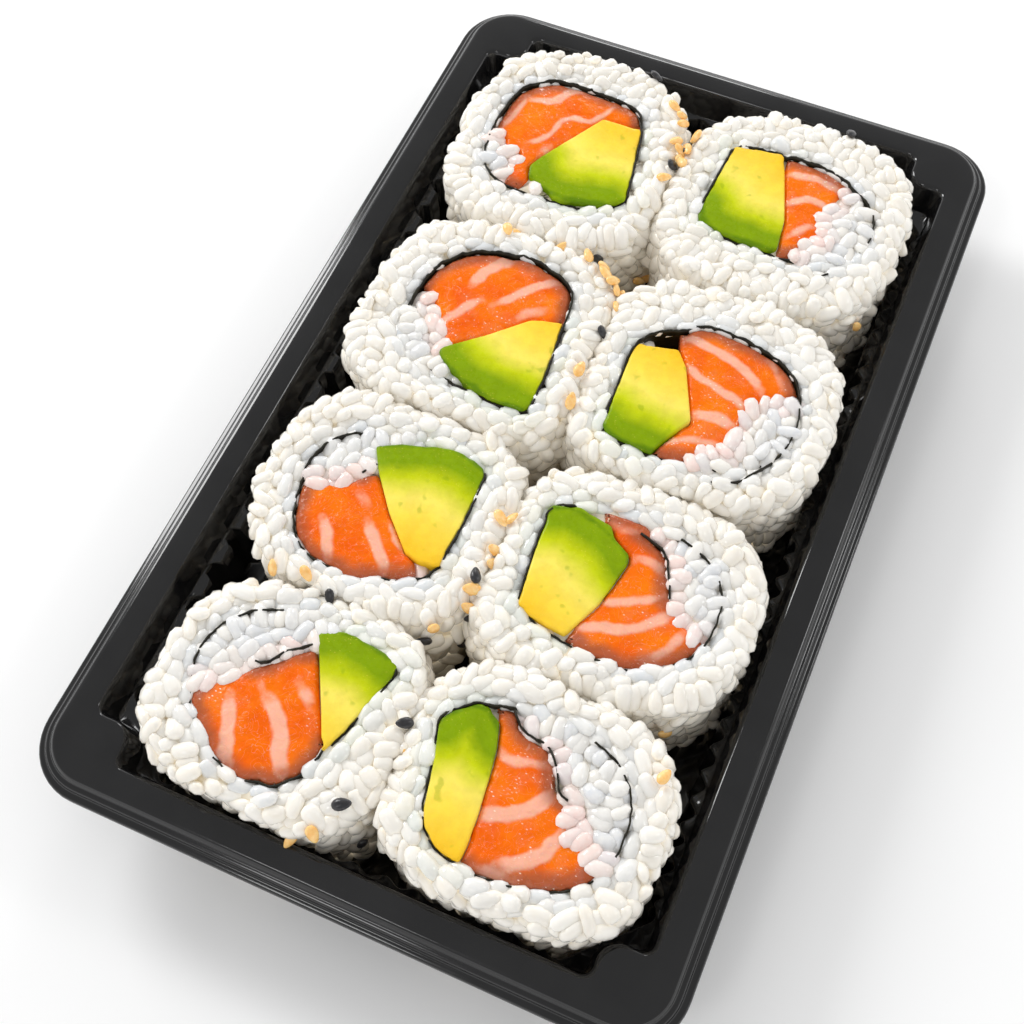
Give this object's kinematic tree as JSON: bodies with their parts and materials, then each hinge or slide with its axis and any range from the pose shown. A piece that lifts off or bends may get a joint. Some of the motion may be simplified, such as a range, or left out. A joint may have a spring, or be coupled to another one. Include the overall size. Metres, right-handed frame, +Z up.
{
  "type": "takeaway sushi tray",
  "caption": "Black formed plastic tray filled with thick inside-out sushi rolls of salmon and avocado, standing on their cut ends in two columns.",
  "frame": {"origin": "middle of the tray's underside, on the surface it stands on", "axes": "+Z up out of the tray, +Y along the long side towards the back row, +X along the short side to the right"},
  "size_m": [0.1346, 0.222, 0.0325],
  "materials": {
    "tray": "black formed sheet, satin on the rim and glossy inside",
    "rice": "moist cooked short-grain rice, white and slightly translucent",
    "inner_rice": "moist cooked rice inside the roll, greyer and more translucent",
    "nori": "thin black-green pressed seaweed sheet, softened by the rice",
    "salmon": "raw salmon, wet, orange with pale curved fat lines",
    "avocado": "ripe avocado flesh, smooth, yellow turning green at the skin side"
  },
  "bodies": {
    "root": {"tray": "tray", "roll_left_1_rice": "rice", "roll_left_1_nori": "nori", "roll_left_1_avocado": "avocado", "roll_left_1_salmon": "salmon", "roll_left_1_pocket": "inner_rice", "roll_left_2_rice": "rice", "roll_left_2_nori": "nori", "roll_left_2_avocado": "avocado", "roll_left_2_salmon": "salmon", "roll_left_2_pocket": "inner_rice", "roll_left_3_rice": "rice", "roll_left_3_nori": "nori", "roll_left_3_avocado": "avocado", "roll_left_3_salmon": "salmon", "roll_left_3_pocket": "inner_rice", "roll_left_4_rice": "rice", "roll_left_4_nori": "nori", "roll_left_4_avocado": "avocado", "roll_left_4_salmon": "salmon", "roll_left_4_pocket": "inner_rice", "roll_right_1_rice": "rice", "roll_right_1_nori": "nori", "roll_right_1_avocado": "avocado", "roll_right_1_salmon": "salmon", "roll_right_1_pocket": "inner_rice", "roll_right_2_rice": "rice", "roll_right_2_nori": "nori", "roll_right_2_avocado": "avocado", "roll_right_2_salmon": "salmon", "roll_right_2_pocket": "inner_rice", "roll_right_3_rice": "rice", "roll_right_3_nori": "nori", "roll_right_3_avocado": "avocado", "roll_right_3_salmon": "salmon", "roll_right_3_pocket": "inner_rice", "roll_right_4_rice": "rice", "roll_right_4_nori": "nori", "roll_right_4_avocado": "avocado", "roll_right_4_salmon": "salmon", "roll_right_4_pocket": "inner_rice"}
  },
  "joints": []
}
